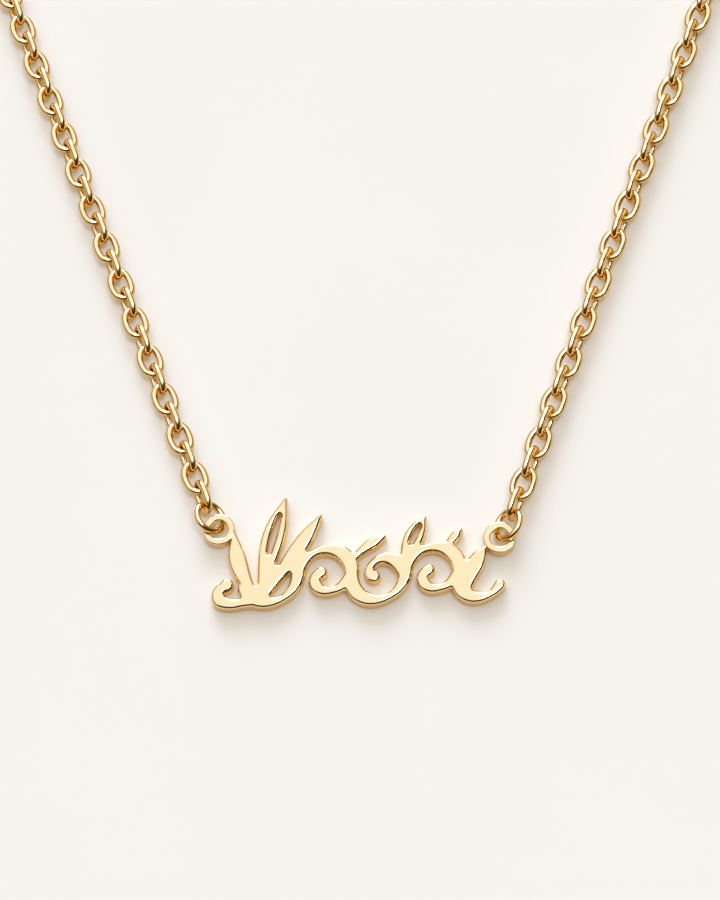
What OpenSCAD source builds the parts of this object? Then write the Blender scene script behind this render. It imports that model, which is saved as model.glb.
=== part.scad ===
/* [Plate] */
// Width of the cut-out scroll, from its left tail to its right tail
plate_w = 30.9; // [27:0.1:36]
// Height of the cut-out scroll, from its foot to the tip of the tallest leaf
plate_h = 12.1; // [10.5:0.1:14]
// Thickness of the plate
plate_t = 1.5; // [1.1:0.1:2.4]
// Widest stroke of the scroll, across a leaf
stroke_w = 2.2; // [1.8:0.1:2.8]
// Thinnest stroke of the scroll, along a tendril
thin_w = 0.9; // [0.7:0.05:1.2]
// Radius that softens the corners between strokes
fillet_r = 0.18; // [0.05:0.01:0.3]
// Italic slant of the whole scroll
slant = 7; // [0:1:14]

/* [Eyelets] */
// Radius of the hole in each eyelet
eyelet_hole_r = 1.0; // [0.9:0.05:1.3]
// Width of the metal around the hole
eyelet_wall = 0.72; // [0.6:0.02:0.9]
// Thickness of the eyelets where the ring runs under them, level with the plate's face
eyelet_t = 0.62; // [0.5:0.02:0.64]
// Rounding of the eyelets' edges, as a share of their thickness
eyelet_round = 0.45; // [0.2:0.05:0.45]
// Angle of the part of each eyelet that stays thin, so that the ring can run under it
thin_angle = 100; // [90:5:150]
// Distance between the two eyelets' holes, as a share of the scroll's width
eyelet_apart_share = 0.964; // [0.955:0.001:0.975]
// Height of the left hole over the plate's foot, as a share of the scroll's height
left_eyelet_share = 0.731; // [0.71:0.001:0.75]
// Height of the right hole over the plate's foot, as a share of the scroll's height
right_eyelet_share = 0.591; // [0.57:0.001:0.61]

/* [Jump rings] */
// Outside diameter of the rings that join the eyelets to the chain
ring_d = 3.9; // [3.7:0.1:5]
// Wire of these rings
ring_wire = 0.64; // [0.5:0.02:0.66]
// Lean of these rings from lying flat, outer side up
ring_lean = 41; // [39:1:42]
// Distance of a ring's middle from the eyelet's hole, along the chain
ring_out = 1.6; // [1.4:0.05:1.65]
// Distance of a ring's middle from the eyelet's hole, outward across the chain
ring_side = 0.37; // [0.3:0.01:0.4]

/* [Chain] */
// Length of the whole necklace, worn
necklace_l = 455; // [380:5:600]
// Outside length of a link
link_l = 3.88; // [3.7:0.02:5]
// Outside width of a link
link_w = 2.76; // [2.66:0.02:3.4]
// Wire of a link
link_wire = 0.66; // [0.5:0.01:0.7]
// Play between any two linked pieces
play = 0.15; // [0.14:0.01:0.2]
// Lean of the left chain's standing links from upright, top inward
left_roll = 26; // [0:1:35]
// Lean of the right chain's standing links from upright, top inward
right_roll = 18; // [0:1:35]
// Lean of the links that lie flat between the standing ones, the same way
flat_roll = 10; // [9:1:20]
// Angle of each straight run from the plate's upright
spread = 20.75; // [15:0.25:30]

/* [Clasp] */
// Outside diameter of the spring ring
clasp_d = 6; // [5:0.5:9]
// Tube of the spring ring
clasp_wire = 1.0; // [0.9:0.05:1.4]
// Outside diameter of the clasp's small fixed loop
clasp_loop_d = 2.4; // [2.2:0.1:3.2]
// Outside diameter of the two rings beside the clasp
end_ring_d = 3.2; // [3.1:0.1:4]
// Wire of the two rings beside the clasp
end_ring_wire = 0.55; // [0.45:0.05:0.6]
// Lean of the two rings beside the clasp, from lying flat
end_ring_lean = 50; // [49:1:52]
// Lean of the clasp, from lying flat
clasp_lean = 20; // [18:1:22]
// Depth to which the fixed loop sits in the spring ring's tube
loop_seat = 0.35; // [0.3:0.05:0.45]
// Diameter of the clasp's thumb nub
nub_d = 0.9; // [0.6:0.1:1.2]
// Height of the nub over the tube
nub_h = 0.4; // [0.2:0.1:0.8]
// Place of the nub around the tube
nub_angle = 60; // [30:5:90]

/* [Hidden] */

gold = [0.96, 0.80, 0.50];
degree = PI / 180;

// Sides of the circles that stand for round shapes
wire_sides = 24;
ring_sides = 64;
hole_sides = 48;
stroke_end_sides = 20;
berry_sides = 36;

// The scroll is drawn in shares of its own width and height, from its middle and its foot.
// All its strokes are rows of [across, up, width].
function at(across, up) = [across * plate_w, up * plate_h];
lean = tan(slant);
still_level = 0.3 * plate_h;
function upright(p) = [p[0] - lean * (p[1] - still_level), p[1]];

eyelet_r = eyelet_hole_r + eyelet_wall;
function eyelet(side) = at(side * eyelet_apart_share / 2, side < 0 ? left_eyelet_share : right_eyelet_share);

function lerp(a, b, t) = a + (b - a) * t;
function unit(v) = v / norm(v);
function last(list) = list[len(list) - 1];

// A point of a smooth curve through a table's rows, by Catmull and Rom's rule
function row_at(rows, i) = rows[max(0, min(len(rows) - 1, i))];
function curve_row(rows, i, t) =
    let (a = row_at(rows, i - 1), b = row_at(rows, i), c = row_at(rows, i + 1), d = row_at(rows, i + 2))
    0.5 * (2 * b + (c - a) * t + (2 * a - 5 * b + 4 * c - d) * t * t + (3 * b - a - 3 * c + d) * t * t * t);
function curve(rows, steps = 6) = concat(
    [for (i = [0 : len(rows) - 2], k = [0 : steps - 1]) curve_row(rows, i, k / steps)],
    [last(rows)]);

// A stroke: the rows' points with their widths, each [x, y, width] in millimetres
function side_points(rows, side) = [
    for (i = [0 : len(rows) - 1])
        let (
            ahead = row_at(rows, i + 1) - row_at(rows, i - 1),
            along = unit([ahead[0], ahead[1]]),
            p = rows[i])
        [p[0] - side * along[1] * p[2] / 2, p[1] + side * along[0] * p[2] / 2]];
module stroke(rows) {
    n = len(rows);
    ends = [rows[0], last(rows)];
    right = side_points(rows, -1);
    polygon(concat(side_points(rows, 1), [for (i = [n - 1 : -1 : 0]) right[i]]));
    for (e = ends) translate([e[0], e[1]]) circle(d = e[2], $fn = stroke_end_sides);
}

module berry(p, d) {
    translate([p[0], p[1]]) circle(d = d, $fn = berry_sides);
}

// A leaf from its foot to its tip, bent sideways by a share of its length.
// It is widest a little past its middle, and its tip is a share of the thinnest stroke.
leaf_count = 14;
leaf_past_power = 1.35;
leaf_full_power = 1.1;
leaf_tip_share = 0.4;
function leaf_spine(foot, tip, bend, t) =
    let (along = tip - foot, mid = (foot + tip) / 2 + bend * [-along[1], along[0]])
    (1 - t) * (1 - t) * foot + 2 * t * (1 - t) * mid + t * t * tip;
function leaf_belly(t) = pow(sin(180 * pow(t, leaf_past_power)), leaf_full_power);
module leaf(foot, tip, bend, w) {
    stroke([for (i = [0 : leaf_count])
        let (t = i / leaf_count, p = leaf_spine(foot, tip, bend, t))
        [p[0], p[1], lerp(lerp(thin_w, leaf_tip_share * thin_w, t), w, leaf_belly(t))]]);
}

// A slit along the middle of a leaf, as wide as given at its own middle
slit_count = 10;
slit_from_share = 0.44;
slit_to_share = 0.84;
slit_ends_share = 0.55;
module slit(foot, tip, bend, w) {
    stroke([for (i = [0 : slit_count])
        let (t = i / slit_count, p = leaf_spine(foot, tip, bend, lerp(slit_from_share, slit_to_share, t)))
        [p[0], p[1], w * lerp(slit_ends_share, 1, sin(180 * t))]]);
}

// A broad nib's rule: a stroke is thin along the nib's slant and wide across it
nib_angle = 30;
nib_power = 1.3;
function nib(heading, wide) = lerp(thin_w, wide, pow(abs(sin(heading - nib_angle)), nib_power));

// The running scroll: one wave that passes under the even rounds and over the odd ones.
// The first round carries the leaves, and the last one turns up as the tail.
// Each round is [half width, half height] in shares of the scroll's width and height.
round_rows = [[0.0920, 0.235], [0.0920, 0.235], [0.0920, 0.235], [0.0920, 0.235], [0.0744, 0.190]];
scroll_start_share = -0.300;
scroll_up_share = 0.290;
function across(i) = i == 0 ? scroll_start_share : across(i - 1) + round_rows[i - 1][0] + round_rows[i][0];
function up(i) = scroll_up_share - (round_rows[0][1] - round_rows[i][1]);
function over(i) = i % 2 == 1 ? 1 : -1;
function on_scroll(i, a, size) =
    at(across(i) + size * round_rows[i][0] * cos(a), up(i) + size * round_rows[i][1] * sin(a));

// Part of a scroll's round, from one angle to another, its radius closing by a share
round_w = 0.75 * stroke_w;
round_inner_w = 0.6 * round_w;
round_step_angle = 10;
closing_power = 0.72;
module round_stroke(i, from, to, close) {
    n = ceil(abs(to - from) / round_step_angle);
    way = to > from ? 1 : -1;
    stroke([for (k = [0 : n])
        let (
            t = k / n,
            a = lerp(from, to, t),
            p = on_scroll(i, a, 1 - close * pow(t, closing_power)))
        [p[0], p[1], nib(a + way * 90, lerp(round_w, round_inner_w, close * t))]]);
}

// A whole round, curled in to a berry
curl_angle = 230;
curl_close_share = 0.82;
berry_back_angle = 15;
berry_share = 0.46;
module scroll(i) {
    s = over(i);
    round_stroke(i, 180, 180 - s * 180, 0);
    round_stroke(i, 0, -s * curl_angle, curl_close_share);
    eye = on_scroll(i, -s * (curl_angle - berry_back_angle), 1 - curl_close_share);
    berry(eye, berry_share * round_rows[i][1] * plate_h);
}

scroll_from_angle = 205;
scroll_to_angle = 335;
module running_scroll() {
    round_stroke(0, scroll_from_angle, 360, 0);
    for (i = [1 : len(round_rows) - 2]) scroll(i);
    round_stroke(len(round_rows) - 1, 180, scroll_to_angle, 0);
}

// The leaves: [foot across, foot up, tip across, tip up, bend, width, slit], the width and the
// slit's width in shares of the widest stroke
leaf_rows = [
    [-0.325, 0.09, -0.285, 1.00, 0.06, 1.15, 0.28],
    [-0.315, 0.10, -0.155, 0.84, 0.00, 0.85, 0],
    [-0.020, 0.45, 0.075, 0.63, 0.12, 0.60, 0],
    [0.150, 0.34, 0.205, 0.80, 0.10, 1.00, 0.26],
    [0.290, 0.50, 0.335, 0.68, 0.10, 0.50, 0]];

// Two more leaves end on the eyelets: [side, foot across, foot up, tip across, tip up, bend, width],
// the tip measured from the eyelet's hole in shares of the eyelet's outer radius
eyelet_leaf_rows = [
    [-1, -0.335, 0.09, 0.96, -0.23, 0.16, 0.85],
    [1, 0.380, 0.10, -0.82, -0.52, 0.16, 0.90]];

// The curled tail on the left: [across, up, width in shares of the thinnest stroke]
tail_rows = [
    [-0.450, 0.220, 1.0], [-0.477, 0.170, 1.3], [-0.465, 0.085, 1.6], [-0.425, 0.048, 1.3],
    [-0.385, 0.060, 1.2], [-0.340, 0.075, 1.4], [-0.300, 0.055, 1.0]];

tail_berry_d = 1.7 * thin_w;
module tail() {
    stroke(curve([for (r = tail_rows) concat(at(r[0], r[1]), [r[2] * thin_w])]));
    berry(at(tail_rows[0][0], tail_rows[0][1]), tail_berry_d);
}

module vine_outline() {
    difference() {
        union() {
            running_scroll();
            tail();
            for (r = leaf_rows) leaf(at(r[0], r[1]), at(r[2], r[3]), r[4], r[5] * stroke_w);
            for (r = eyelet_leaf_rows) {
                tip = eyelet(r[0]) + eyelet_r * [r[3], r[4]];
                leaf(at(r[1], r[2]), upright(tip), r[5], r[6] * stroke_w);
            }
        }
        for (r = leaf_rows) {
            if (r[6] > 0) slit(at(r[0], r[1]), at(r[2], r[3]), r[4], r[6] * stroke_w);
        }
    }
}

// The italic leans what stands above a still level, and a point is set upright before it
module italic() {
    multmatrix([[1, lean, 0, -lean * still_level], [0, 1, 0, 0], [0, 0, 1, 0]]) children();
}

module scroll_outline() {
    offset(r = fillet_r, $fn = wire_sides)
        offset(delta = -fillet_r)
        offset(r = -fillet_r, $fn = wire_sides)
        offset(delta = fillet_r)
        italic() vine_outline();
}

// Round wire rings and links, each drawn in its own plane, long side along X
module wire_ring(d, wire) {
    rotate_extrude($fn = ring_sides) translate([(d - wire) / 2, 0]) circle(d = wire, $fn = wire_sides);
}

// A link is a long loop: two half rounds joined by two straight sides
link_bend_r = (link_w - link_wire) / 2;
link_straight = link_l - link_w;
module link() {
    for (s = [0, 180]) rotate([0, 0, s]) {
        translate([link_straight / 2, 0, 0]) rotate([0, 0, -90])
            rotate_extrude(angle = 180, $fn = ring_sides)
            translate([link_bend_r, 0]) circle(d = link_wire, $fn = wire_sides);
        translate([-link_straight / 2, link_bend_r, 0]) rotate([0, 90, 0])
            cylinder(d = link_wire, h = link_straight, $fn = wire_sides);
    }
}

// Half the free length inside each loop, along the chain
ring_reach = ring_d / 2 - ring_wire;
link_reach = link_l / 2 - link_wire;
end_reach = end_ring_d / 2 - end_ring_wire;
clasp_reach = clasp_d / 2 - clasp_wire;
loop_centre = clasp_d / 2 + clasp_loop_d / 2 - loop_seat;
loop_reach = loop_centre + clasp_loop_d / 2 - end_ring_wire;

// Steps along the chain, from the middle of one loop to the middle of the next
first_step = ring_reach + link_reach - play;
step = 2 * link_reach - play;
end_step = link_reach + end_reach - play;
loop_step = end_reach + loop_reach - play;
clasp_step = clasp_reach + end_reach - play;

// Height of the middle of a leaning ring, or of a chain of leaning links, over the surface
function ring_z(d, wire, lean) = (d - wire) / 2 * sin(lean) + wire / 2;
function chain_z(roll) = link_bend_r * cos(roll) + link_wire / 2;

// Each side of the necklace: -1 is the left one, 1 the right one
function roll(side) = side < 0 ? left_roll : right_roll;
function away(side) = [side * sin(spread), cos(spread)];
function inward(side) = [-side * cos(spread), sin(spread)];
function ring_place(side) = eyelet(side) + ring_out * away(side) - ring_side * inward(side);

// The chain's route: straight runs that spread by one angle, closed by one round at the top
links_per_side = 2 * round((necklace_l - norm(ring_place(1) - ring_place(-1)) - loop_step - clasp_step
    - 2 * (first_step + end_step)) / (4 * step)) + 2;
route_l = 2 * (first_step + (links_per_side - 1) * step + end_step) + loop_step + clasp_step;
function foot_x(side) = ring_place(side)[0] - side * tan(spread) * ring_place(side)[1];
loop_x = (foot_x(1) + foot_x(-1)) / 2;
half_foot = (foot_x(1) - foot_x(-1)) / 2;
function spare(side) = (half_foot / tan(spread) + ring_place(side)[1]) / cos(spread);
top_sweep = (90 + spread) * degree;
top_r = (route_l + spare(-1) + spare(1)) / (2 * (1 / tan(spread) + top_sweep));
top_y = (top_r / cos(spread) - half_foot) / tan(spread);
function run_l(side) = (top_y - top_r * sin(spread) - ring_place(side)[1]) / cos(spread);

// Place [x, y] and heading of the route at a distance from the middle of a side's jump ring
function on_top(side, s) = -spread + (s - run_l(side)) / top_r / degree;
function route(side, s) = s <= run_l(side)
    ? ring_place(side) + s * away(side)
    : [loop_x + side * top_r * cos(on_top(side, s)), top_y + top_r * sin(on_top(side, s))];
function route_heading(side, s) =
    let (a = s <= run_l(side) ? 90 - spread : 90 + on_top(side, s))
    side > 0 ? a : 180 - a;

// The whole necklace is set so that its own box is centred on X and Y
clasp_half = (clasp_d - clasp_wire) / 2 * cos(clasp_lean) + clasp_wire / 2;
shift = [-loop_x, -(top_y + top_r + clasp_half) / 2, 0];

// Puts a loop on a side's route, turned about the chain by an angle from lying flat
module on_route(side, s, z, turn) {
    p = route(side, s);
    translate(shift + [p[0], p[1], z]) rotate([0, 0, route_heading(side, s)]) rotate([side * turn, 0, 0])
        children();
}

// An eyelet's wall, a rounded square beside its hole, level with the plate's face
module eyelet_section() {
    c = eyelet_round * min(eyelet_t, eyelet_wall);
    translate([eyelet_hole_r, plate_t - eyelet_t]) {
        translate([c, 0]) square([eyelet_wall - 2 * c, eyelet_t]);
        translate([0, c]) square([eyelet_wall, eyelet_t - 2 * c]);
        for (i = [c, eyelet_wall - c], k = [c, eyelet_t - c]) {
            translate([i, k]) circle(r = c, $fn = wire_sides);
        }
    }
}

// Below its thin part an eyelet goes on down to the surface, a hair narrower, except where the ring
// dips under it on the inner side of the chain's run
foot_inset = 0.03;
thin_turn = 43;
module eyelet_foot(side) {
    rotate([0, 0, 90 - side * (spread - thin_turn) + thin_angle / 2])
        rotate_extrude(angle = 360 - thin_angle, $fn = ring_sides)
        translate([eyelet_hole_r + foot_inset, 0])
        square([eyelet_wall - 2 * foot_inset, plate_t - eyelet_t / 2]);
}

// The scroll is cut away around the eyelets' holes, and the eyelets are soldered in
cut_past = 1;
module nameplate() {
    color(gold) translate(shift) {
        difference() {
            linear_extrude(plate_t) scroll_outline();
            for (s = [-1, 1]) translate([eyelet(s)[0], eyelet(s)[1], -cut_past])
                cylinder(r = eyelet_hole_r + eyelet_wall / 2, h = plate_t + 2 * cut_past, $fn = hole_sides);
        }
        for (s = [-1, 1]) translate(eyelet(s)) {
            rotate_extrude($fn = ring_sides) eyelet_section();
            eyelet_foot(s);
        }
    }
}

module jump_ring(side) {
    color(gold) on_route(side, 0, ring_z(ring_d, ring_wire, ring_lean), -ring_lean)
        wire_ring(ring_d, ring_wire);
}

// Standing and flat links take turns, and the first one stands
module chain(side) {
    color(gold) for (i = [0 : links_per_side - 1]) {
        turn = i % 2 == 0 ? 90 - roll(side) : -flat_roll;
        on_route(side, first_step + i * step, chain_z(roll(side)), turn) link();
    }
}

end_place = first_step + (links_per_side - 1) * step + end_step;
end_ring_z = ring_z(end_ring_d, end_ring_wire, end_ring_lean);
module end_ring(side) {
    color(gold) on_route(side, end_place, end_ring_z, end_ring_lean) wire_ring(end_ring_d, end_ring_wire);
}

module jump_ring_left() { jump_ring(-1); }
module jump_ring_right() { jump_ring(1); }
module chain_left() { chain(-1); }
module chain_right() { chain(1); }
module end_ring_left() { end_ring(-1); }
module end_ring_right() { end_ring(1); }

// The spring ring sits between the two end rings, its small loop to the left
module clasp() {
    a = route(-1, end_place);
    b = route(1, end_place);
    along = unit(b - a);
    p = a + loop_step * along;
    color(gold)
        translate(shift + [p[0], p[1], ring_z(clasp_d, clasp_wire, clasp_lean)])
        rotate([0, 0, atan2(along[1], along[0])]) rotate([clasp_lean, 0, 0]) {
            wire_ring(clasp_d, clasp_wire);
            translate([-loop_centre, 0, 0]) wire_ring(clasp_loop_d, end_ring_wire);
            rotate([0, 0, nub_angle]) translate([(clasp_d - clasp_wire) / 2, 0, 0])
                cylinder(d = nub_d, h = clasp_wire / 2 + nub_h, $fn = wire_sides);
        }
}

nameplate();
jump_ring_left();
jump_ring_right();
chain_left();
chain_right();
end_ring_left();
end_ring_right();
clasp();
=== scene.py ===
# %% [markdown]
# # A scroll nameplate necklace, dressed in gold
#
# The packed model is the frame: it gives each ring, link and plate its real size and its place,
# in metres. +Z is up from the surface that the necklace lies on, and +Y runs from the plate to
# the clasp. Blender adds what a plain solid lacks: oval links, a rolled edge on the plate, the
# cut in each jump ring, the works of the clasp, and the gold itself.
#
# The frame is loaded first, because every later step measures it. No piece is placed by eye.

# %% The frame
import math

import bpy
import numpy as np
from mathutils import Matrix, Vector, geometry
from mathutils.kdtree import KDTree


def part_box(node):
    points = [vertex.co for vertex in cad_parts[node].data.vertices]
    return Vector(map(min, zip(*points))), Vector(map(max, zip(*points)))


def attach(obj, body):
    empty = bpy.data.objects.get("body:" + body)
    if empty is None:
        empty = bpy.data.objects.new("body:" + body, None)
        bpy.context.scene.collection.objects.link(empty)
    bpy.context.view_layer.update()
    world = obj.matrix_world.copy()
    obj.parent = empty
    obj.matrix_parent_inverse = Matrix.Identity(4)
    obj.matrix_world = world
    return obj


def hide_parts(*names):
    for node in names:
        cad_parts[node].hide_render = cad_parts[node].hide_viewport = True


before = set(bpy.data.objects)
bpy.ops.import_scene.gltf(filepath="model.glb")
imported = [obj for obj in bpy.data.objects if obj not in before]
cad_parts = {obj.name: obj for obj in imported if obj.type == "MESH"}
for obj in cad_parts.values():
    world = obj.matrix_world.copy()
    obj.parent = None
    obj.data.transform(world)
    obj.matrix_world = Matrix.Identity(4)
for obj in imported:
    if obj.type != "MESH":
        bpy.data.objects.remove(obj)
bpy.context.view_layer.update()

mm = 0.001
print("nodes:", sorted(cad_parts))

# %% [markdown]
# ## The camera
#
# A picture of jewellery on a card is taken with a long lens, from in front and above. The lean
# of the camera shows in the plate: its lower walls are in view and its upper ones aren't. The
# aim could be set by trial, but it is quicker to name the angle, the distance and the point
# that lies in the middle of the picture, and to build the camera's axes from them.

# %% The camera
lens_mm = 120.0
long_side_mm = 36.0
nearest_seen = 10 * mm
below = math.radians(19.0)
to_the_right = math.radians(4.3)
camera_roll = math.radians(-0.15)
camera_distance = 321.8 * mm
aim_over_foot = 17.79 * mm
aim_right_of_middle = 0.07 * mm

plate_low, plate_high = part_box("nameplate")
plate_middle_x = (plate_low.x + plate_high.x) / 2
aim = Vector((plate_middle_x + aim_right_of_middle, plate_low.y + aim_over_foot, 0))

towards = Vector((math.sin(to_the_right), -math.sin(below), 0))
towards.z = math.sqrt(1 - towards.length_squared)
across = Vector((0, 1, 0)).cross(towards).normalized()
upward = towards.cross(across)
turned = Matrix.Rotation(camera_roll, 3, towards)
axes = Matrix((turned @ across, turned @ upward, towards)).transposed()

camera_data = bpy.data.cameras.new("camera")
camera_data.lens = lens_mm
camera_data.sensor_width = long_side_mm
camera_data.clip_start = nearest_seen
camera = bpy.data.objects.new("camera", camera_data)
camera.matrix_world = Matrix.Translation(aim + towards * camera_distance) @ axes.to_4x4()
bpy.context.scene.collection.objects.link(camera)
bpy.context.scene.camera = camera
print("camera", [round(c / mm) for c in camera.location], "mm, from the middle of the frame")

# %% [markdown]
# ## A small language for shaders
#
# Light and gold are both described by sums on a point or a direction. Blender's nodes do such
# sums, but a tree of them is hard to read, whether it is drawn by hand or made by a script one
# node at a time. Two small classes let a sum be written as one: a number knows its socket, and
# + - * on it add the Math nodes.

# %% Numbers
class Number:
    """A number on its way through a node tree: sums on it add their own Math nodes."""

    def __init__(self, board, socket):
        self.board, self.socket = board, socket

    def _math(self, operation, first, second):
        return self.board.node("Math", {"operation": operation}, first, second)

    def __add__(self, other):
        return self._math("ADD", self, other)

    def __radd__(self, other):
        return self._math("ADD", other, self)

    def __sub__(self, other):
        return self._math("SUBTRACT", self, other)

    def __rsub__(self, other):
        return self._math("SUBTRACT", other, self)

    def __mul__(self, other):
        return self._math("MULTIPLY", self, other)

    def __rmul__(self, other):
        return self._math("MULTIPLY", other, self)


print("sums on a Number:", [name for name in vars(Number) if name.startswith("__r")])

# %% [markdown]
# The second class is a board, a node tree with one way to add a node. A colour can't go through
# a Math node, so it is mixed by a node of its own. That node has sockets for each kind of value,
# and they share their names, so the ones for colours are picked by number. Nearly every pattern
# also needs a soft step between two values, which gets a short name here.

# %% Boards
colour_inputs, colour_output = (0, 6, 7), 2


class Board:
    """A node tree with one way to add a node: its kind, its settings, then what feeds it."""

    def __init__(self, tree):
        self.tree = tree
        tree.nodes.clear()

    def feed(self, socket, value):
        if isinstance(value, Number):
            self.tree.links.new(value.socket, socket)
        elif socket.type == "RGBA" and len(value) == 3:
            socket.default_value = (*value, 1)
        else:
            socket.default_value = value

    def node(self, kind, settings, *values, gives=0, **named):
        made = self.tree.nodes.new("ShaderNode" + kind)
        for name, setting in settings.items():
            setattr(made, name, setting)
        for socket, value in zip(made.inputs, values):
            self.feed(socket, value)
        for name, value in named.items():
            self.feed(made.inputs[name.replace("_", " ")], value)
        return Number(self, made.outputs[gives] if made.outputs else None)

    def mixed(self, share, first, second):
        """A colour between two others. A Math node would turn it grey."""
        made = self.tree.nodes.new("ShaderNodeMix")
        made.data_type = "RGBA"
        for place, value in zip(colour_inputs, (share, first, second)):
            self.feed(made.inputs[place], value)
        return Number(self, made.outputs[colour_output])

    def between(self, value, low, high):
        """0 below low, 1 above high, and a soft step from one to the other."""
        return self.node("MapRange", {"interpolation_type": "SMOOTHSTEP"}, value, low, high)


print("a Board has:", [name for name in vars(Board) if not name.startswith("_")])

# %% [markdown]
# ## A light tent
#
# Polished metal shows little but what stands around it, and jewellers shoot it in a white tent
# with black cards in it. Lamps and cards could be built as objects, but a tent surrounds
# everything, so it is the world's own colour here, worked out from the direction alone.
#
# What the photograph shows decides where each part goes. The plate's face is an even cream, so
# the part of the roof that it mirrors is white. Brown cloth lower down gives each wire its two
# dark sides.

# %% The tent's cloth
tent_strength = 1.40
tent_white = (1.0, 0.95, 0.88)
tent_brown = (0.28, 0.175, 0.075)
roof_towards = Vector((-0.075, 0.326, 0.942))
roof_rim = (0.50, 0.77)

world = bpy.data.worlds.new("light_tent")
world.use_nodes = True
bpy.context.scene.world = world
tent = Board(world.node_tree)
direction = tent.node("TexCoord", {}, gives="Generated")
side_x, side_y, height = (tent.node("SeparateXYZ", {}, direction, gives=axis) for axis in "XYZ")


def near(middle, rim):
    """1 around the middle of a round patch of the tent and 0 outside it."""
    facing = tent.node("VectorMath", {"operation": "DOT_PRODUCT"},
                       direction, middle.normalized(), gives="Value")
    return tent.between(facing, *rim)


cloth = tent.mixed(near(roof_towards, roof_rim), tent_brown, tent_white)
roof_turn = math.degrees(Vector((0, 0, 1)).angle(roof_towards))
print("the middle of the white roof is", round(roof_turn), "degrees from straight up")

# %% [markdown]
# The black line below each stroke is a black card in front and on the right. It is a tall one,
# and gives way to the cloth only 60 to 72 degrees up. The bright line under the black one is a
# strip of light at the card's foot, no more than a few degrees high.

# %% The black card
black_tint = (0.055, 0.041, 0.027)
black_right, black_front = 0.45, 0.89
black_rim = (-0.05, 0.25)
black_top = (0.87, 0.95)
strip_tint = (2.0, 1.7, 1.25)
strip_top = (0.04, 0.10)

black_side = tent.between(black_right * side_x - black_front * side_y, *black_rim)
cloth = tent.mixed(black_side * (1 - tent.between(height, *black_top)), cloth, black_tint)
cloth = tent.mixed(black_side * (1 - tent.between(height, *strip_top)), cloth, strip_tint)
print("the black card ends", [round(math.degrees(math.asin(h))) for h in black_top], "degrees up")

# %% [markdown]
# The shadows are long and soft and fall towards the bottom of the picture, so a broad lamp
# stands low at the far side. A small lamp nearly overhead lights the surface inside the links
# and draws the white line on the rims. It stands a little to the right, or the plate would look
# white from above.

# %% The lamps
lamp_white = (0.86, 1.0, 1.12)
far_lamp = (Vector((-0.08, 0.91, 0.38)), (0.915, 0.985), 10.5)
high_lamp = (Vector((0.20, 0.02, 0.98)), (0.981, 0.997), 15.0)

light = tent.node("Background", {}, cloth, tent_strength)
for middle, rim, strength in (far_lamp, high_lamp):
    glow = tent.node("Background", {}, lamp_white, near(middle, rim) * strength)
    light = tent.node("AddShader", {}, light, glow)
tent.node("OutputWorld", {}, light)
bpy.context.scene.view_settings.view_transform = "Standard"
print("the tent has", len(world.node_tree.nodes), "nodes")

# %% [markdown]
# ## Finishes
#
# Every material here is one Principled shader. Some of its sockets hold a constant and others
# change from point to point, so a small class builds the shader and then paints the sockets by
# name. Noise is asked for by the width of its bumps in millimetres, which can be measured on a
# real piece, and not by a scale that has to be guessed.

# %% A finish
class Finish(Board):
    """A material: a Principled shader whose sockets are painted by name."""

    def __init__(self, name, **constants):
        self.material = bpy.data.materials.new(name)
        self.material.use_nodes = True
        super().__init__(self.material.node_tree)
        self.shader = self.tree.nodes.new("ShaderNodeBsdfPrincipled")
        self.paint(**constants)
        self.node("OutputMaterial", {}, Number(self, self.shader.outputs[0]))
        self.place = self.node("TexCoord", {}, gives="Object")

    def paint(self, **painted):
        for socket, value in painted.items():
            self.feed(self.shader.inputs[socket.replace("_", " ")], value)

    def stretched(self, steps_per_m, turn):
        """Where a point is, turned about the upright and counted in steps along each axis."""
        return self.node("Mapping", {}, self.place, Rotation=(0, 0, turn), Scale=steps_per_m)

    def noise(self, bump_mm=None, steps=None, detail=2.0, roughness=0.5):
        """Noise with bumps of a width in mm, or one bump to each step of a stretched place."""
        scale = 1.0 if steps else 1 / (bump_mm * mm)
        return self.node("TexNoise", {}, steps or self.place, Scale=scale,
                         Detail=detail, Roughness=roughness)

    def relief(self, height, depth_mm, strength=1.0, **under):
        """A normal that is tipped by a height, over another normal if one is given."""
        return self.node("Bump", {}, Strength=strength, Distance=depth_mm * mm,
                         Height=height, **under)


print("a Finish adds:", [name for name in vars(Finish) if not name.startswith("_")])

# %% [markdown]
# ## The surface
#
# The necklace lies on warm white card. A plane with one flat colour would do for the shadow,
# but real card is faintly mottled and has a tooth, so noise at two scales moves its colour and
# its height by very little. Its shadows in the photograph are light and warm, as those on opal
# sheet are, because light travels inside it. Subsurface scattering would show that, but it is
# slow and grainy on so large a sheet, so the card glows a little in a warm colour instead.

# %% The card
card_half = 4.0
card_tint = (0.530, 0.550, 0.578)
card_shade = (0.521, 0.541, 0.569)
card_glow = (0.20, 0.125, 0.04)
mottle_mm, mottle_range = 38.0, (0.35, 0.65)
tooth_mm, tooth_deep_mm, tooth_strength = 0.35, 0.012, 0.5

card = Finish("warm_card", Roughness=0.85, Specular_IOR_Level=0.25,
              Emission_Color=card_glow, Emission_Strength=1.0)
mottle = card.between(card.noise(mottle_mm, detail=4.0), *mottle_range)
tooth = card.noise(tooth_mm, detail=3.0)
card.paint(Base_Color=card.mixed(mottle, card_tint, card_shade),
           Normal=card.relief(tooth, tooth_deep_mm, tooth_strength))

card_turns = ((-1, -1), (1, -1), (1, 1), (-1, 1))
card_corners = [(x * card_half, y * card_half, 0) for x, y in card_turns]
card_mesh = bpy.data.meshes.new("card")
card_mesh.from_pydata(card_corners, [], [(0, 1, 2, 3)])
card_mesh.materials.append(card.material)
card_sheet = bpy.data.objects.new("card", card_mesh)
bpy.context.scene.collection.objects.link(card_sheet)
print("the card is", 2 * card_half, "m wide")

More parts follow.
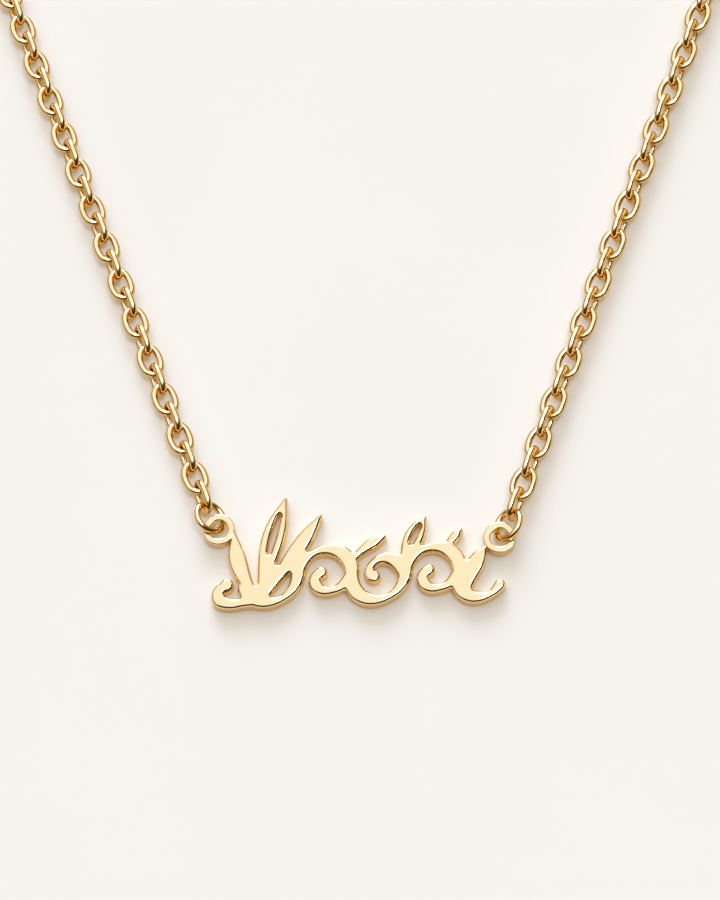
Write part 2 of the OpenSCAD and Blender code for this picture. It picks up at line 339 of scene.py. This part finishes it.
# %% [markdown]
# ## The gold
#
# Gold is a metal whose mirror image is tinted: white comes back as pale gold, and what is seen
# in gold by way of gold, as between two links, comes back amber. One metallic colour gives both.
# A perfect mirror looks like a drawing, though. A worn-in polish has three signs, and each gets
# its own noise: a slow ripple left by the hand that held it to the wheel, fine hairlines, and
# patches that are a little duller from the skin. The colour is painted highlight and painted
# shade: three tints follow the rise of the surface's own normal, so what faces up is painted
# pale, and the edge beside it and the steep walls are painted deeper, as if they mirrored less
# of the white roof. Where one tint gives way to the next drifts a little as well.

# %% The gold's two finishes
least_rough, hairline_rough = 0.085, 0.05
hairline_deep_mm, hairline_strength = 0.0006, 0.35
hairline_sets = (
    ((900, 26000, 9000), math.radians(17), (0.60, 0.72)),
    ((21000, 1100, 9000), math.radians(-9), (0.62, 0.74)),
)
patch_mm, patch_range = 1.6, (0.45, 0.75)
drift_mm, face_drift, edge_drift = 5.0, 0.2, 0.3
noise_middle = 0.5


def gold(name, face, edge, wall, face_from, edge_from, ripple_mm, ripple_deep_mm, dull):
    """Polished gold: three tints painted by rise as highlight and shade, the rises where two of
    them start, ripple, dull patches.
    """
    finish = Finish(name, Metallic=1.0)
    facing = finish.node("TexCoord", {}, gives="Normal")
    rise = finish.node("SeparateXYZ", {}, facing, gives="Z")
    drift = finish.noise(drift_mm, detail=3.0) - noise_middle
    # painted shade: steep surfaces get the deeper edge and wall tints
    painted_side_tint = finish.mixed(finish.between(rise + edge_drift * drift, *edge_from), wall, edge)
    # painted highlight: what faces up gets the pale face tint
    painted_highlight_and_shade = finish.mixed(finish.between(rise + face_drift * drift, *face_from), painted_side_tint, face)
    patches = finish.noise(patch_mm, detail=4.0, roughness=0.6)
    lengthwise, crosswise = (
        finish.between(finish.noise(steps=finish.stretched(steps, turn), detail=1.0), *shares)
        for steps, turn, shares in hairline_sets
    )
    hairlines = lengthwise + crosswise
    ripple = finish.relief(finish.noise(ripple_mm, detail=1.0), ripple_deep_mm)
    dullness = dull * finish.between(patches, *patch_range)
    finish.paint(
        Base_Color=painted_highlight_and_shade,
        Roughness=least_rough + dullness + hairline_rough * hairlines,
        Normal=finish.relief(hairlines, hairline_deep_mm, hairline_strength, Normal=ripple),
    )
    return finish.material


# painted highlight and shade: face is the pale tint of what faces up, edge and wall the deeper
# tints of the sides
plate_gold = gold(
    "plate_gold", face=(0.705, 0.620, 0.425), edge=(0.86, 0.62, 0.30), wall=(0.84, 0.56, 0.20),
    face_from=(0.70, 0.90), edge_from=(0.05, 0.35), ripple_mm=2.6, ripple_deep_mm=0.010, dull=0.07)
wire_gold = gold(
    "wire_gold", face=(0.78, 0.68, 0.46), edge=(0.72, 0.43, 0.12), wall=(0.80, 0.53, 0.17),
    face_from=(0.72, 0.96), edge_from=(0.05, 0.30), ripple_mm=0.9, ripple_deep_mm=0.006, dull=0.13)
print("finishes:", [m.name for m in bpy.data.materials])

# %% [markdown]
# ## Reading the solids
#
# A solid comes in as triangles, and its corners are doubled along its sharp edges. To measure
# it, the doubles are joined first. A link's own axes could be typed in, but then they would be
# wrong as soon as the solid moved. So they are measured: the directions in which a shell's
# surface spreads most and least are its length and its thickness.

# %% Corners, loose parts and axes
same_digits = 3


def solid(node):
    """A solid's corners in mm, doubles joined, and its triangles as rows of corner numbers."""
    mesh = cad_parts[node].data
    mesh.calc_loop_triangles()
    corners = np.empty(len(mesh.vertices) * 3, np.float32)
    mesh.vertices.foreach_get("co", corners)
    triangles = np.empty(len(mesh.loop_triangles) * 3, np.int32)
    mesh.loop_triangles.foreach_get("vertices", triangles)
    corners = corners.reshape(-1, 3).astype(float) / mm
    _, first, place = np.unique(corners.round(same_digits), axis=0,
                                return_index=True, return_inverse=True)
    triangles = place.ravel()[triangles].reshape(-1, 3)
    whole = (triangles != np.roll(triangles, 1, axis=1)).all(axis=1)
    return corners[first], triangles[whole]


def loose_parts(corners, triangles):
    """The triangles of each loose part, in turn."""
    part = np.arange(len(corners))
    while True:
        lower = part.copy()
        lowest = part[triangles].min(axis=1, keepdims=True).repeat(3, axis=1)
        np.minimum.at(lower, triangles, lowest)
        lower = lower[lower]
        if (lower == part).all():
            break
        part = lower
    owner = part[triangles[:, 0]]
    return [triangles[owner == number] for number in np.unique(owner)]


def own_axes(corners, triangles):
    """The middle of a shell and its axes as columns, the longest first."""
    a, b, c = (corners[triangles[:, k]] for k in range(3))
    area = np.linalg.norm(np.cross(b - a, c - a), axis=1)[:, None]
    middles = (a + b + c) / 3
    centre = (middles * area).sum(axis=0) / area.sum()
    away = middles - centre
    _, axes = np.linalg.eigh((away * area).T @ away)
    axes = axes[:, ::-1]
    if axes[1, 0] < 0:
        axes[:, 0] *= -1
    if axes[2, 2] < 0:
        axes[:, 2] *= -1
    axes[:, 1] = np.cross(axes[:, 2], axes[:, 0])
    return centre, axes


print("a jump ring's solid has", len(solid("jump_ring_left")[0]), "corners")

# %% [markdown]
# ## Making shells
#
# Everything but the plate is bent round wire or turned on a lathe, so one helper sweeps a circle
# along a flat path and another turns a section round an axis. A curve object with a bevel and a
# screw modifier would make the same shapes. Meshes are used because the 86 links of a side then
# join in one piece, and because a cut end can be closed.

# %% Tubes and lathes
def net(rows, sides, closed, flipped=False):
    """Faces between rows of corners. The last row joins the first, or both ends get a lid."""
    faces = []
    for i in range(rows if closed else rows - 1):
        here, there = i * sides, (i + 1) % rows * sides
        for j in range(sides):
            k = (j + 1) % sides
            face = (here + j, there + j, there + k, here + k)
            faces.append(face[:1] + face[:0:-1] if flipped else face)
    if not closed:
        first, last = tuple(range(sides)), tuple(range((rows - 1) * sides, rows * sides))
        faces += [first[::-1], last] if flipped else [first, last[::-1]]
    return faces


def round_turn(sides):
    """The angles of evenly spaced points on a whole circle."""
    return np.linspace(0, 2 * np.pi, sides, endpoint=False)


def tube(path, radius, sides, closed=True):
    """Corners and faces of round wire bent along a flat path, which runs to the left."""
    ahead = np.roll(path, -1, 0) - np.roll(path, 1, 0) if closed else np.gradient(path, axis=0)
    ahead /= np.linalg.norm(ahead, axis=1)[:, None]
    outward = np.column_stack([ahead[:, 1], -ahead[:, 0]])
    turn = round_turn(sides)
    radius = np.broadcast_to(radius, (len(path), sides))
    corners = np.empty((len(path), sides, 3))
    corners[..., :2] = path[:, None] + (radius * np.cos(turn))[..., None] * outward[:, None]
    corners[..., 2] = radius * np.sin(turn)
    return corners.reshape(-1, 3), net(len(path), sides, closed)


def lathe(profile, sides, closed=False):
    """Corners and faces of a section of (radius, height), run up the outside, turned round."""
    turn = round_turn(sides)
    radius, height = np.array(profile, float).T[..., None]
    corners = np.stack([radius * np.cos(turn), radius * np.sin(turn), height + 0 * turn], axis=-1)
    return corners.reshape(-1, 3), net(len(profile), sides, closed, flipped=True)


def arc(radius, start, stop, count):
    """A flat path along a circle, from one angle to another in degrees."""
    turn = np.radians(np.linspace(start, stop, count))
    return radius * np.column_stack([np.cos(turn), np.sin(turn)])


def placed(shell, centre, axes):
    """A shell moved from its own plane to its place."""
    corners, faces = shell
    return corners @ axes.T + centre, faces


print("an open tube of 3 stations and 4 sides has", len(net(3, 4, closed=False)), "faces")

# %% [markdown]
# ## Making pieces
#
# Shells that belong together become one object. They are worked out in millimetres and the
# scene is in metres, so their corners are scaled here, once. Unless normals are given, an edge
# is shaded sharp where the surface turns by more than 50 degrees, as at the end of a cut wire.
# Each piece rides on the one body of the necklace and stands for the solids that it covers.

# %% A piece
crease_angle = math.radians(50)


def new_piece(name, shells, material, slot, *nodes, normals=None):
    """One object from shells of (corners in mm, faces), in place of the solids it covers."""
    corners, faces, used = [], [], 0
    for shell_corners, shell_faces in shells:
        corners.append(shell_corners)
        faces += [tuple(used + k for k in face) for face in shell_faces]
        used += len(shell_corners)
    mesh = bpy.data.meshes.new(name)
    mesh.from_pydata(np.vstack(corners) * mm, [], faces, shade_flat=False)
    mesh.materials.append(material)
    if normals is None:
        mesh.set_sharp_from_angle(angle=crease_angle)
    else:
        mesh.normals_split_custom_set_from_vertices(normals)
    piece = bpy.data.objects.new(name, mesh)
    bpy.context.scene.collection.objects.link(piece)
    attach(piece, "root")
    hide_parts(*nodes)
    print(name, "has", len(faces), "faces")


print("pieces get sharp edges from", round(math.degrees(crease_angle)), "degrees up")

# %% [markdown]
# ## The chain
#
# A cable chain is made of round wire wound on an oval rod, sawn into links and soldered one by
# one, every second link a quarter turn from its neighbours. The solids are plain long loops
# with straight sides. The real links are fuller than an ellipse and rounder than a loop, so
# each is bent again to a superellipse of the same length and width. Its solder joint stands a
# hair proud, and no two links lie quite alike, so each is tipped by a degree or so. Then it is
# lifted until no part of it is below the card. The wire is a tenth thicker than the solid's,
# which is thin enough for each link to hang free of the next.

# %% The links
link_fullness = 2.35
link_plump = 1.10
link_stations = 40
link_sides = 14
fine_steps = 40
solder_swell = 0.045
solder_half_mm = 0.16
tip_degrees = 1.3
tip_shares = (1, 0.3, 0.3)
chance = np.random.default_rng(17)


def run_along(line):
    """How far along a line each of its points lies."""
    return np.concatenate([[0], np.cumsum(np.linalg.norm(np.diff(line, axis=0), axis=1))])


def in_even_steps(line, count):
    """So many evenly spaced points on a flat line that ends where it starts."""
    run = run_along(line)
    even = np.linspace(0, run[-1], count, endpoint=False)
    return np.column_stack([np.interp(even, run, line[:, k]) for k in (0, 1)])


def oval(half_long, half_wide):
    """Evenly spaced points on a closed oval that is fuller than an ellipse."""
    turn = np.linspace(0, 2 * np.pi, fine_steps * link_stations + 1)
    circle = np.column_stack([np.cos(turn), np.sin(turn)])
    fuller = np.sign(circle) * np.abs(circle) ** (2 / link_fullness)
    return in_even_steps(fuller * (half_long, half_wide), link_stations)


def small_turn():
    """A turn by a small angle about each axis, drawn by chance."""
    angles = np.radians(chance.normal(0, tip_degrees, 3)) * tip_shares
    about_x, about_y, about_z = (Matrix.Rotation(a, 3, axis) for a, axis in zip(angles, "XYZ"))
    return np.array(about_z @ about_y @ about_x)


def chain(side):
    """All the oval links of one side, each where its plain solid lies."""
    node = "chain_" + side
    corners, triangles = solid(node)
    shells = []
    for part in loose_parts(corners, triangles):
        centre, axes = own_axes(corners, part)
        half = np.abs((corners[np.unique(part)] - centre) @ axes).max(axis=0)
        path = oval(half[0] - half[2], half[1] - half[2])
        from_joint = np.hypot(path[:, 0], path[:, 1] - path[:, 1].max())
        swell = 1 + solder_swell * np.exp(-((from_joint / solder_half_mm) ** 2))
        shell = tube(path, link_plump * half[2] * swell[:, None], link_sides)
        bent, faces = placed(shell, centre, axes @ small_turn())
        bent[:, 2] -= min(0.0, bent[:, 2].min())
        shells.append((bent, faces))
    print(node, "has", len(shells), "links of", (2 * half).round(2), "mm")
    new_piece(node + "_links", shells, wire_gold, "wire_gold", node)


for side in ("left", "right"):
    chain(side)

# %% [markdown]
# ## Jump rings and end rings
#
# Each of these four rings is a turn of wire that is twisted open to let its neighbours in and
# twisted shut again. What is left is a hairline cut, and its two ends never meet quite true.
# A whole torus would hide that, so the wire is an open arc with closed ends, and it winds a
# little way out of its own plane from one end to the other.

# %% The rings
cut_degrees = 1.6
cut_step_mm = 0.035
ring_plump = 1.06
ring_stations = 96
ring_sides = 20
cuts_at = {
    "jump_ring_left": 150,
    "jump_ring_right": 40,
    "end_ring_left": 250,
    "end_ring_right": 300,
}


def ring(node, cut_at):
    """A ring where its solid lies, cut at an angle in degrees from its level line."""
    corners, triangles = solid(node)
    centre, axes = own_axes(corners, triangles)
    level = np.cross(axes[:, 2], (0, 0, 1))
    level /= np.linalg.norm(level)
    axes = np.column_stack([level, np.cross(axes[:, 2], level), axes[:, 2]])
    away = (corners - centre) @ axes
    wire = np.abs(away[:, 2]).max()
    reach = np.hypot(away[:, 0], away[:, 1]).max()
    half_cut = cut_degrees / 2
    path = arc(reach - wire, cut_at + half_cut, cut_at + 360 - half_cut, ring_stations)
    wound, faces = tube(path, ring_plump * wire, ring_sides, closed=False)
    climb = np.linspace(-cut_step_mm / 2, cut_step_mm / 2, ring_stations)
    wound[:, 2] += np.repeat(climb, ring_sides)
    print(node, "is", round(2 * reach, 2), "mm wide")
    new_piece(node + "_wire", [placed((wound, faces), centre, axes)], wire_gold, "wire_gold", node)


for node, cut_at in cuts_at.items():
    ring(node, cut_at)

# %% [markdown]
# ## Measuring the clasp
#
# The clasp is a spring ring, which is hidden behind the neck in most pictures. Its solid is a
# plain ring with a peg and a small loop in one, so its axes can't be had in one step: the peg
# pulls them askew. So what stands too high to be the ring is left out and the axes are measured
# again, three times over. A circle is then fitted to the ring's wall, since the small loop pulls
# the middle aside.

# %% The clasp's middle, axes and sizes
looks = 3
ring_half_mm = 0.56
wall_from_mm, wall_to_mm = 0.33, 0.53
eye_clear_mm = 0.05

corners, triangles = solid("clasp")
centre, axes = own_axes(corners, triangles)
for look in range(looks):
    upright = ((corners - centre) @ axes)[:, 2]
    no_lever = np.abs(upright[triangles]).max(axis=1) < ring_half_mm
    centre, axes = own_axes(corners, triangles[no_lever])
away = (corners - centre) @ axes
wall = away[(np.abs(away[:, 2]) > wall_from_mm) & (np.abs(away[:, 2]) < wall_to_mm)]
terms = np.column_stack([2 * wall[:, :2], np.ones(len(wall))])
shift_x, shift_y, _ = np.linalg.lstsq(terms, (wall[:, :2] ** 2).sum(axis=1), rcond=None)[0]
centre = centre + axes[:, 0] * shift_x + axes[:, 1] * shift_y
away -= (shift_x, shift_y, 0)
reach = np.hypot(away[:, 0], away[:, 1])
along = -(axes[:, :2] @ away[reach.argmax(), :2]) / reach.max()
clasp_axes = np.column_stack([along, np.cross(axes[:, 2], along), axes[:, 2]])
local = (corners - centre) @ clasp_axes

tube_wire = np.abs(wall[:, 2]).max()
tube_mid = np.hypot(wall[:, 0] - shift_x, wall[:, 1] - shift_y)
tube_mid = (tube_mid.min() + tube_mid.max()) / 2
eye = local[local[:, 0] < -tube_mid - tube_wire - eye_clear_mm]
eye_outer, eye_wire = np.abs(eye[:, 1]).max(), np.abs(eye[:, 2]).max()
eye_at = -reach.max() + eye_outer
lever_top = local[:, 2].max()
print("tube", round(tube_mid, 3), "by", round(tube_wire, 3), "mm,",
      "eye", round(eye_outer, 3), "mm at", round(eye_at, 3))

# %% [markdown]
# ## The spring ring
#
# It is the one working part. A tube with a long gap holds a coil spring and a thinner wire, the
# gate, that slides out of one end of the tube and into the other. A small lever stands in a
# slot of the tube and draws the gate back. The solid has a peg for the lever and no more, so
# the gap, the gate, the slot and the lever's head are made here. The slot isn't cut with a
# boolean: the tube's radius is simply less along it.

# %% The tube, the gate and the fixed loop
gap_from, gap_to = 84, 128
gate_share, gate_past, gate_stations, gate_sides = 0.70, 4, 25, 28
collar_share, collar_degrees = 1.07, 3.0
slot_from, slot_to = 22 + 360, 66 + 360
slot_half_turn, slot_share = 22, 0.76
straight_up = 90
tube_stations, tube_sides = 161, 48
eye_stations, eye_sides = 64, 20

angles = np.linspace(gap_to, gap_from + 360, tube_stations)
turn = np.degrees(round_turn(tube_sides))
from_end = np.minimum(angles - angles[0], angles[-1] - angles)[:, None]
share = np.where(from_end < collar_degrees, collar_share, 1.0) * np.ones(tube_sides)
in_slot = (angles[:, None] > slot_from) & (angles[:, None] < slot_to)
share[in_slot & (np.abs(turn - straight_up) < slot_half_turn)] = slot_share
body_path = arc(tube_mid, angles[0], angles[-1], tube_stations)
gate_path = arc(tube_mid, gap_from - gate_past, gap_to + gate_past, gate_stations)
eye_path = arc(eye_outer - eye_wire, 0, 360 - 360 / eye_stations, eye_stations) + (eye_at, 0)
body = tube(body_path, tube_wire * share, tube_sides, closed=False)
gate = tube(gate_path, tube_wire * gate_share, gate_sides, closed=False)
eye_ring = tube(eye_path, eye_wire, eye_sides)
print("the gap is", gap_to - gap_from, "degrees long and the slot", slot_to - slot_from)

# %% [markdown]
# The lever is turned on the lathe: a thin stem, and a head like a small button, whose edges are
# rounded above and below so that a thumbnail can push it. It stands in the slot, on the middle
# line of the tube.

# %% The lever
lever_at = math.radians(60)
lever_sides = 36
stem_mm, stem_below_mm = 0.27, 0.34
head_mm, head_thick_mm, head_edge_mm = 0.44, 0.32, 0.10
quarter = (0.0, 0.5, 1.0, 1.57)
head_foot = lever_top - head_thick_mm
head_flat_mm = head_mm - head_edge_mm
lever_line = [(stem_mm, 0.0), (stem_mm, lever_top - stem_below_mm), (head_flat_mm, head_foot)]
lever_line += [(head_flat_mm + head_edge_mm * math.sin(a),
                head_foot + head_edge_mm - head_edge_mm * math.cos(a)) for a in quarter[1:]]
lever_line += [(head_flat_mm + head_edge_mm * math.cos(a),
                lever_top - head_edge_mm + head_edge_mm * math.sin(a)) for a in quarter]
lever_corners, lever_faces = lathe(lever_line, lever_sides)
lever_foot = (tube_mid * math.cos(lever_at), tube_mid * math.sin(lever_at), 0)
clasp_shells = (body, gate, eye_ring, (lever_corners + lever_foot, lever_faces))
new_piece("spring_ring", [placed(shell, centre, clasp_axes) for shell in clasp_shells],
          wire_gold, "wire_gold", "clasp")

# %% [markdown]
# ## The plate's outline
#
# The plate is sawn out of sheet and then polished, and the buffing wheel rolls every edge over
# a little. That rolled edge is what makes a black line and a bright line run round the plate in
# a picture. A bevel modifier can't be used on an outline with points and narrow bridges: it
# overlaps itself there. So the outline is read from the solid's underside and walked in even
# steps, and its small straight pieces are smoothed into curves.

# %% Outlines
step_mm = 0.055
soften_mm = 0.060
fewest_steps = 12
bell_reach = 3
underside_mm = 0.001

corners, triangles = solid("nameplate")
plate_top = corners[:, 2].max()
underside = triangles[(corners[triangles][..., 2] < underside_mm).all(axis=1)]
sides = np.vstack([underside[:, [0, 1]], underside[:, [1, 2]], underside[:, [2, 0]]])
known = {tuple(pair) for pair in sides}
follow = {a: b for a, b in known if (b, a) not in known}
outlines = []
while follow:
    here = next(iter(follow))
    walk = []
    while here in follow:
        walk.append(here)
        here = follow.pop(here)
    outlines.append(corners[walk][::-1, :2])


def softened(loop):
    """A closed outline in even steps, each point moved towards its neighbours by a bell curve."""
    closed = np.vstack([loop, loop[:1]])
    length = run_along(closed)[-1]
    count = max(fewest_steps, round(length / step_mm))
    points = in_even_steps(closed, count)
    width = soften_mm / (length / count)
    reach = math.ceil(bell_reach * width)
    offsets = range(-reach, reach + 1)
    weights = np.array([math.exp(-0.5 * (k / width) ** 2) for k in offsets])
    weights /= weights.sum()
    return sum(w * np.roll(points, -k, axis=0) for w, k in zip(weights, offsets))


outlines = [softened(loop) for loop in outlines]
lengths = [len(loop) for loop in outlines]
print(len(outlines), "outlines with", sum(lengths), "points")

# %% [markdown]
# ## How far from the edge
#
# Along the rolled edge the height of the metal depends on one thing, the distance to the nearest
# edge. Blender's tree of points finds the nearest corner of the outline fast, and the foot of
# the shortest way lies on one of the two sides that meet there.

# %% The nearest edge
rim = np.vstack(outlines)
starts = np.cumsum([0] + lengths[:-1])
after = np.concatenate([np.roll(np.arange(n), -1) + s for n, s in zip(lengths, starts)])
before = np.empty_like(after)
before[after] = np.arange(len(rim))
heading = rim[after] - rim[before]
heading /= np.linalg.norm(heading, axis=1)[:, None]
inward = np.column_stack([-heading[:, 1], heading[:, 0]])
rim_sides = list(zip(range(len(rim)), after.tolist()))

tree = KDTree(len(rim))
for number, point in enumerate(rim):
    tree.insert((*point, 0), number)
tree.balance()


def nearest_on_rim(points):
    """The point of the outline that is nearest to each point."""
    nearest = np.array([tree.find((*point, 0))[1] for point in points])
    best, found = np.full(len(points), np.inf), np.empty((len(points), 2))
    for start, stop in ((before[nearest], nearest), (nearest, after[nearest])):
        span = rim[stop] - rim[start]
        share = ((points - rim[start]) * span).sum(axis=1) / (span**2).sum(axis=1)
        foot = rim[start] + share.clip(0, 1)[:, None] * span
        far = np.linalg.norm(points - foot, axis=1)
        closer = far < best
        best[closer], found[closer] = far[closer], foot[closer]
    return found


print("the rim is", round(float(np.linalg.norm(rim[after] - rim, axis=1).sum()), 1), "mm long")

# %% [markdown]
# ## The plate's rolled edge
#
# The top is a height field over the outline: a quarter of a circle for the first part of a
# millimetre in from the edge, then flat. Rows of points are laid along the outline at the
# depths where the quarter circle needs them, and one more where the flat has just begun. Points
# that come too near another edge are left out.

# %% Rows of points
roll_mm = 0.37
rows_degrees = (14, 29, 44, 58, 72, 90)
flat_row_mm = 0.03
true_share = 0.97

depths = [roll_mm * (1 - math.cos(math.radians(row))) for row in rows_degrees]
rows = [rim]
for depth in depths + [roll_mm + flat_row_mm]:
    points = rim + depth * inward
    far = np.linalg.norm(points - nearest_on_rim(points), axis=1)
    rows.append(points[far > true_share * depth])
points = np.vstack(rows)
print(len(rows), "rows hold", len(points), "points")

# %% [markdown]
# ## Cutting out
#
# A Delaunay triangulation joins the points, but it also fills the holes and what lies between
# the strokes. A triangle with a corner away from the outline is on the metal. One with all three
# corners on the outline can be either, and then a ray from its middle decides.

# %% Cutting out
same_point_mm = 1e-6
least_area = 1e-12


def inside(points):
    """Whether each point is on the metal: a ray from it crosses the rim an odd number of times."""
    a, b = rim, rim[after]
    odd = np.zeros(len(points), bool)
    for k, (x, y) in enumerate(points):
        spans = (a[:, 1] > y) != (b[:, 1] > y)
        p, q = a[spans], b[spans]
        crossed = p[:, 0] + (y - p[:, 1]) * (q[:, 0] - p[:, 0]) / (q[:, 1] - p[:, 1])
        odd[k] = (crossed > x).sum() % 2
    return odd


def cut_out(points):
    """Triangles on the metal that join points, of which the first are the outline's."""
    flat = [Vector(point) for point in points]
    _, _, joined, origin, _, _ = geometry.delaunay_2d_cdt(flat, rim_sides, [], 0, same_point_mm)
    number = np.array([min(found, default=-1) for found in origin])
    joined = number[np.array(joined)]
    joined = joined[(joined >= 0).all(axis=1)]
    (ax, ay), (bx, by), (cx, cy) = (points[joined[:, k]].T for k in range(3))
    area = (bx - ax) * (cy - ay) - (by - ay) * (cx - ax)
    joined[area < 0] = joined[area < 0][:, ::-1]
    keep = (joined >= len(rim)).any(axis=1)
    keep[~keep] = inside(points[joined[~keep]].mean(axis=1))
    return joined[keep & (np.abs(area) > least_area)]


top_faces, bottom_faces = cut_out(points), cut_out(rim)
print("cut out:", len(top_faces), "triangles for the top,", len(bottom_faces), "for the bottom")

# %% [markdown]
# ## Height and shading
#
# Each point's height and its normal follow from its true distance to the edge, so the shading is
# that of a smooth edge however the triangles fall.

# %% Heights and normals
never_zero = 1e-9

foot = nearest_on_rim(points)
depth = np.linalg.norm(points - foot, axis=1)
level = ((roll_mm - depth) / roll_mm).clip(0, 1)
outward = (foot - points) / np.maximum(depth, never_zero)[:, None]
level[: len(rim)], outward[: len(rim)] = 1, -inward
rise = np.sqrt(1 - level**2)
top = np.column_stack([points, plate_top - roll_mm + roll_mm * rise])
top_normals = np.column_stack([outward * level[:, None], rise])
print("the flat lies", round(top[:, 2].max(), 3), "mm up, the edge", round(top[:, 2].min(), 3))

# %% [markdown]
# ## Walls and underside
#
# The walls go straight down from the rolled edge. They share their upper corners with it, so
# there is no seam in the shading, while the underside has corners of its own and so a sharp
# edge, as sawn sheet has.

# %% The plate's walls
rim_at_foot = np.column_stack([rim, np.zeros(len(rim))])
wall_normals = np.column_stack([-inward, np.zeros(len(rim))])
n_top, n_rim = len(points), len(rim)
walls = [(j, i, i + n_top, j + n_top) for i, j in rim_sides]
underneath = [tuple(int(k) + n_top + n_rim for k in face[::-1]) for face in bottom_faces]
faces = [tuple(int(k) for k in face) for face in top_faces] + walls + underneath
plate_shells = [(np.vstack([top, rim_at_foot, rim_at_foot]), faces)]
plate_normals = [top_normals, wall_normals, np.tile((0.0, 0.0, -1.0), (n_rim, 1))]
print("the plate has", len(walls), "pieces of wall")

# %% [markdown]
# ## The eyelets
#
# The two eyelets are washers, soldered to the plate's ends. They are turned from a section with
# rounded corners by the lathe helper, which gives them a finer rolled edge than the plate's.
# Their faces stand a hair above the plate's, because a renderer can't tell two faces apart that
# lie at the same height.

# %% The washers
eyelet_hole_mm, eyelet_outer_mm = 1.0, 1.72
eyelet_low_mm, eyelet_roll_mm, eyelet_proud_mm = 0.88, 0.17, 0.008
eyelet_sides, eyelet_roll_steps = 96, 7

eyelet_top_mm = plate_top + eyelet_proud_mm
section, section_normals = [], []
for x, z, first in ((eyelet_outer_mm, eyelet_low_mm, -90), (eyelet_outer_mm, eyelet_top_mm, 0),
                    (eyelet_hole_mm, eyelet_top_mm, 90), (eyelet_hole_mm, eyelet_low_mm, 180)):
    x += eyelet_roll_mm if x == eyelet_hole_mm else -eyelet_roll_mm
    z += eyelet_roll_mm if z == eyelet_low_mm else -eyelet_roll_mm
    for angle in np.radians(np.linspace(first, first + 90, eyelet_roll_steps)):
        c, s = math.cos(angle), math.sin(angle)
        section.append((x + eyelet_roll_mm * c, z + eyelet_roll_mm * s))
        section_normals.append((c, s))
washer = lathe(section, eyelet_sides, closed=True)
washer_normals, _ = lathe(section_normals, eyelet_sides, closed=True)
print("an eyelet is", 2 * eyelet_outer_mm, "mm wide with a hole of", 2 * eyelet_hole_mm)

# %% [markdown]
# Below a washer a wall goes down to the card, as the plate's does, but not where the jump ring
# runs under. So the wall isn't a full turn and the lathe helper can't make it. It is laid in
# three strips, outside, inside and underneath, and each end is closed with one flat face.

# %% The eyelets' walls
foot_top_mm = 1.19
thin_middle = {-1: 67.75, 1: 112.25}
thin_degrees = 100
end_mm = 0.03


def foot_shell(first, last):
    """The eyelet's wall below its thin part, from one angle to another, with its normals."""
    turn = np.radians(np.linspace(first, last, eyelet_sides))
    low_in, low_out = (eyelet_hole_mm, 0.0), (eyelet_outer_mm, 0.0)
    high_in, high_out = (eyelet_hole_mm, foot_top_mm), (eyelet_outer_mm, foot_top_mm)
    strips = ((low_out, high_out, 1, 0), (high_in, low_in, -1, 0), (low_in, low_out, 0, -1))
    made, made_normals, made_faces = [], [], []
    for (ra, za), (rb, zb), across, up in strips:
        start = len(made)
        for a in turn:
            c, s = math.cos(a), math.sin(a)
            made += [(ra * c, ra * s, za), (rb * c, rb * s, zb)]
            made_normals += 2 * [(across * c, across * s, up)]
        for i in range(len(turn) - 1):
            made_faces.append(tuple(start + 2 * i + k for k in (0, 2, 3, 1)))
    for a, sign in ((turn[0], -1), (turn[-1], 1)):
        c, s = math.cos(a), math.sin(a)
        start = len(made)
        made += [(r * c, r * s, z) for r, z in (low_in, low_out, high_out, high_in)]
        made_normals += 4 * [(-sign * s, sign * c, 0.0)]
        around = (0, 1, 2, 3) if sign < 0 else (3, 2, 1, 0)
        made_faces.append(tuple(start + k for k in around))
    return np.array(made), made_faces, np.array(made_normals, float)


for end in (-1, 1):
    end_x = (corners[:, 0] * end).max()
    end_y = corners[corners[:, 0] * end > end_x - end_mm, 1].mean()
    middle = (end * (end_x - eyelet_outer_mm), end_y, 0)
    open_from = thin_middle[end] + thin_degrees / 2
    foot, foot_faces, foot_normals = foot_shell(open_from, open_from + 360 - thin_degrees)
    plate_shells += [(washer[0] + middle, washer[1]), (foot + middle, foot_faces)]
    plate_normals += [washer_normals, foot_normals]
    print("eyelet at", round(middle[0], 2), round(middle[1], 2), "mm")
new_piece("scroll_plate", plate_shells, plate_gold, "plate_gold", "nameplate",
          normals=np.vstack(plate_normals))

# %% [markdown]
# ## Sizes, and done
#
# The dressed model has to fill the same box as the solids.
